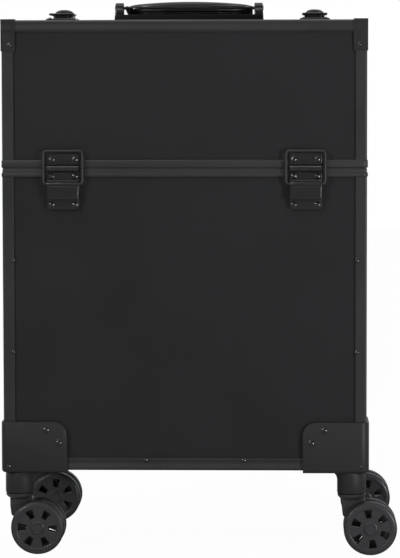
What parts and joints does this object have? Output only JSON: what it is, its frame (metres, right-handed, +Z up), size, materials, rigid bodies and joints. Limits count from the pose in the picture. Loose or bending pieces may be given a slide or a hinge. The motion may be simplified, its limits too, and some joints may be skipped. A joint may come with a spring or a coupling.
{
  "type": "rolling makeup case",
  "caption": "Hard rolling makeup case on swivel castors, with half lids that swing outwards, cantilever trays, a folding carry handle and a telescopic pull handle.",
  "frame": {"origin": "on the floor under the middle of the case body", "axes": "+Z up, +X to the right and -Y to the front, as the picture shows the case"},
  "size_m": [0.3711, 0.2612, 0.5221],
  "materials": {
    "panel_skin": "pebbled",
    "edge_profile": "satin",
    "bright_steel": "satin",
    "gloss_black": "glossy",
    "wheel": "satin",
    "tray": "matte",
    "grip": "glossy",
    "tube": "satin"
  },
  "bodies": {
    "lower_case": {"lower_front_panel": "panel_skin", "lower_back_panel": "panel_skin", "lower_end_panels": "panel_skin", "bottom_panel": "panel_skin", "lower_edge_frame": "edge_profile", "lower_rim_frame": "edge_profile", "corner_brackets": "edge_profile", "castor_housings": "gloss_black", "lower_hinge_leaves": "bright_steel", "hinge_pins": "bright_steel", "lower_case_rivets": "bright_steel", "tray_pivot_studs": "bright_steel", "pull_handle_outer_tubes": "tube", "pull_handle_mounts": "gloss_black"},
    "front_lid": {"front_lid_panels": "panel_skin", "front_lid_edge_frame": "edge_profile", "front_lid_rim_frame": "edge_profile", "front_lid_corner_caps": "edge_profile", "front_lid_hinge_leaves": "bright_steel", "front_lid_rivets": "bright_steel", "latch_keepers": "bright_steel"},
    "rear_lid": {"rear_lid_panels": "panel_skin", "rear_lid_edge_frame": "edge_profile", "rear_lid_rim_frame": "edge_profile", "rear_lid_corner_caps": "edge_profile", "rear_lid_hinge_leaves": "bright_steel", "rear_lid_rivets": "bright_steel", "latch_bases": "bright_steel", "carry_handle_base": "gloss_black"},
    "front_rings": {"front_hinge_rings": "bright_steel"},
    "rear_rings": {"rear_hinge_rings": "bright_steel"},
    "front_outer_arms": {"front_tray_outer_arms": "bright_steel"},
    "front_inner_arms": {"front_tray_inner_arms": "bright_steel"},
    "front_lower_tray": {"front_lower_tray": "tray"},
    "front_upper_tray": {"front_upper_tray": "tray"},
    "rear_outer_arms": {"rear_tray_outer_arms": "bright_steel"},
    "rear_inner_arms": {"rear_tray_inner_arms": "bright_steel"},
    "rear_lower_tray": {"rear_lower_tray": "tray"},
    "rear_upper_tray": {"rear_upper_tray": "tray"},
    "left_lever": {"left_latch_lever": "bright_steel"},
    "left_bail": {"left_latch_bail": "bright_steel"},
    "right_lever": {"right_latch_lever": "bright_steel"},
    "right_bail": {"right_latch_bail": "bright_steel"},
    "carry_grip": {"carry_handle_grip": "grip"},
    "pull_middle": {"pull_handle_middle_tubes": "tube"},
    "pull_inner": {"pull_handle_inner_tubes": "tube", "pull_handle_grip": "grip"},
    "pull_button": {"pull_handle_button": "gloss_black"},
    "front_left_fork": {"front_left_castor_fork": "gloss_black"},
    "front_left_outer_wheel": {"front_left_outer_wheel": "wheel"},
    "front_left_inner_wheel": {"front_left_inner_wheel": "wheel"},
    "front_right_fork": {"front_right_castor_fork": "gloss_black"},
    "front_right_outer_wheel": {"front_right_outer_wheel": "wheel"},
    "front_right_inner_wheel": {"front_right_inner_wheel": "wheel"},
    "rear_left_fork": {"rear_left_castor_fork": "gloss_black"},
    "rear_left_outer_wheel": {"rear_left_outer_wheel": "wheel"},
    "rear_left_inner_wheel": {"rear_left_inner_wheel": "wheel"},
    "rear_right_fork": {"rear_right_castor_fork": "gloss_black"},
    "rear_right_outer_wheel": {"rear_right_outer_wheel": "wheel"},
    "rear_right_inner_wheel": {"rear_right_inner_wheel": "wheel"}
  },
  "joints": [
    {"name": "front_lid_open", "type": "hinge", "parent": "lower_case", "child": "front_lid", "pos_m": [0, -0.1192, 0.3624], "axis": [1, 0, 0], "range_deg": [0, 95]},
    {"name": "rear_lid_open", "type": "hinge", "parent": "lower_case", "child": "rear_lid", "pos_m": [0, 0.1192, 0.3624], "axis": [1, 0, 0], "range_deg": [-95, 0]},
    {"name": "front_ring_swing", "type": "hinge", "parent": "lower_case", "child": "front_rings", "pos_m": [0, -0.1192, 0.3479], "axis": [1, 0, 0], "range_deg": [0, 58]},
    {"name": "front_outer_arms_swing", "type": "hinge", "parent": "lower_case", "child": "front_outer_arms", "pos_m": [0, -0.093, 0.3504], "axis": [1, 0, 0], "range_deg": [0, 71]},
    {"name": "front_inner_arms_swing", "type": "hinge", "parent": "lower_case", "child": "front_inner_arms", "pos_m": [0, -0.073, 0.3504], "axis": [1, 0, 0], "range_deg": [0, 71]},
    {"name": "front_lower_tray_level", "type": "hinge", "parent": "front_outer_arms", "child": "front_lower_tray", "pos_m": [0, -0.06219, 0.3944], "axis": [1, 0, 0], "range_deg": [-71, 0]},
    {"name": "front_upper_tray_level", "type": "hinge", "parent": "front_outer_arms", "child": "front_upper_tray", "pos_m": [0, -0.02719, 0.4444], "axis": [1, 0, 0], "range_deg": [-71, 0]},
    {"name": "rear_ring_swing", "type": "hinge", "parent": "lower_case", "child": "rear_rings", "pos_m": [0, 0.1192, 0.3479], "axis": [1, 0, 0], "range_deg": [-58, 0]},
    {"name": "rear_outer_arms_swing", "type": "hinge", "parent": "lower_case", "child": "rear_outer_arms", "pos_m": [0, 0.093, 0.3504], "axis": [1, 0, 0], "range_deg": [-71, 0]},
    {"name": "rear_inner_arms_swing", "type": "hinge", "parent": "lower_case", "child": "rear_inner_arms", "pos_m": [0, 0.073, 0.3504], "axis": [1, 0, 0], "range_deg": [-71, 0]},
    {"name": "rear_lower_tray_level", "type": "hinge", "parent": "rear_outer_arms", "child": "rear_lower_tray", "pos_m": [0, 0.06219, 0.3944], "axis": [1, 0, 0], "range_deg": [0, 71]},
    {"name": "rear_upper_tray_level", "type": "hinge", "parent": "rear_outer_arms", "child": "rear_upper_tray", "pos_m": [0, 0.02719, 0.4444], "axis": [1, 0, 0], "range_deg": [0, 71]},
    {"name": "left_lever_lift", "type": "hinge", "parent": "rear_lid", "child": "left_lever", "pos_m": [-0.122, 0.0129, 0.5068], "axis": [1, 0, 0], "range_deg": [0, 100]},
    {"name": "left_bail_swing", "type": "hinge", "parent": "left_lever", "child": "left_bail", "pos_m": [-0.122, 0.0209, 0.5082], "axis": [1, 0, 0], "range_deg": [-121, 0]},
    {"name": "right_lever_lift", "type": "hinge", "parent": "rear_lid", "child": "right_lever", "pos_m": [0.122, 0.0129, 0.5068], "axis": [1, 0, 0], "range_deg": [0, 100]},
    {"name": "right_bail_swing", "type": "hinge", "parent": "right_lever", "child": "right_bail", "pos_m": [0.122, 0.0209, 0.5082], "axis": [1, 0, 0], "range_deg": [-121, 0]},
    {"name": "carry_handle_lift", "type": "hinge", "parent": "rear_lid", "child": "carry_grip", "pos_m": [0, 0.0199, 0.5148], "axis": [1, 0, 0], "range_deg": [0, 90]},
    {"name": "pull_middle_slide", "type": "slide", "parent": "lower_case", "child": "pull_middle", "axis": [0, 0, 1], "range_m": [0, 0.18]},
    {"name": "pull_inner_slide", "type": "slide", "parent": "pull_middle", "child": "pull_inner", "axis": [0, 0, 1], "range_m": [0, 0.18]},
    {"name": "pull_button_press", "type": "slide", "parent": "pull_inner", "child": "pull_button", "axis": [0, 0, -1], "range_m": [0, 0.0018], "stiffness_N_per_m": 300},
    {"name": "front_left_swivel", "type": "hinge", "parent": "lower_case", "child": "front_left_fork", "pos_m": [-0.1562, -0.1012, 0.057], "axis": [0, 0, 1], "continuous": true},
    {"name": "front_left_outer_spin", "type": "hinge", "parent": "front_left_fork", "child": "front_left_outer_wheel", "pos_m": [-0.1387, -0.1012, 0.025], "axis": [0, 1, 0], "continuous": true},
    {"name": "front_left_inner_spin", "type": "hinge", "parent": "front_left_fork", "child": "front_left_inner_wheel", "pos_m": [-0.1387, -0.1012, 0.025], "axis": [0, 1, 0], "continuous": true},
    {"name": "front_right_swivel", "type": "hinge", "parent": "lower_case", "child": "front_right_fork", "pos_m": [0.1562, -0.1012, 0.057], "axis": [0, 0, 1], "continuous": true},
    {"name": "front_right_outer_spin", "type": "hinge", "parent": "front_right_fork", "child": "front_right_outer_wheel", "pos_m": [0.1737, -0.1012, 0.025], "axis": [0, 1, 0], "continuous": true},
    {"name": "front_right_inner_spin", "type": "hinge", "parent": "front_right_fork", "child": "front_right_inner_wheel", "pos_m": [0.1737, -0.1012, 0.025], "axis": [0, 1, 0], "continuous": true},
    {"name": "rear_left_swivel", "type": "hinge", "parent": "lower_case", "child": "rear_left_fork", "pos_m": [-0.1562, 0.1012, 0.057], "axis": [0, 0, 1], "continuous": true},
    {"name": "rear_left_outer_spin", "type": "hinge", "parent": "rear_left_fork", "child": "rear_left_outer_wheel", "pos_m": [-0.1387, 0.1012, 0.025], "axis": [0, 1, 0], "continuous": true},
    {"name": "rear_left_inner_spin", "type": "hinge", "parent": "rear_left_fork", "child": "rear_left_inner_wheel", "pos_m": [-0.1387, 0.1012, 0.025], "axis": [0, 1, 0], "continuous": true},
    {"name": "rear_right_swivel", "type": "hinge", "parent": "lower_case", "child": "rear_right_fork", "pos_m": [0.1562, 0.1012, 0.057], "axis": [0, 0, 1], "continuous": true},
    {"name": "rear_right_outer_spin", "type": "hinge", "parent": "rear_right_fork", "child": "rear_right_outer_wheel", "pos_m": [0.1737, 0.1012, 0.025], "axis": [0, 1, 0], "continuous": true},
    {"name": "rear_right_inner_spin", "type": "hinge", "parent": "rear_right_fork", "child": "rear_right_inner_wheel", "pos_m": [0.1737, 0.1012, 0.025], "axis": [0, 1, 0], "continuous": true}
  ],
  "couplings": [
    {"joint": "front_ring_swing", "follows": "front_lid_open", "ratio": 0.601},
    {"joint": "front_outer_arms_swing", "follows": "front_lid_open", "ratio": 0.7368},
    {"joint": "front_inner_arms_swing", "follows": "front_lid_open", "ratio": 0.7368},
    {"joint": "front_lower_tray_level", "follows": "front_lid_open", "ratio": -0.7368},
    {"joint": "front_upper_tray_level", "follows": "front_lid_open", "ratio": -0.7368},
    {"joint": "rear_ring_swing", "follows": "rear_lid_open", "ratio": 0.601},
    {"joint": "rear_outer_arms_swing", "follows": "rear_lid_open", "ratio": 0.7368},
    {"joint": "rear_inner_arms_swing", "follows": "rear_lid_open", "ratio": 0.7368},
    {"joint": "rear_lower_tray_level", "follows": "rear_lid_open", "ratio": -0.7368},
    {"joint": "rear_upper_tray_level", "follows": "rear_lid_open", "ratio": -0.7368},
    {"joint": "left_bail_swing", "follows": "left_lever_lift", "ratio": -1.2},
    {"joint": "right_bail_swing", "follows": "right_lever_lift", "ratio": -1.2}
  ]
}
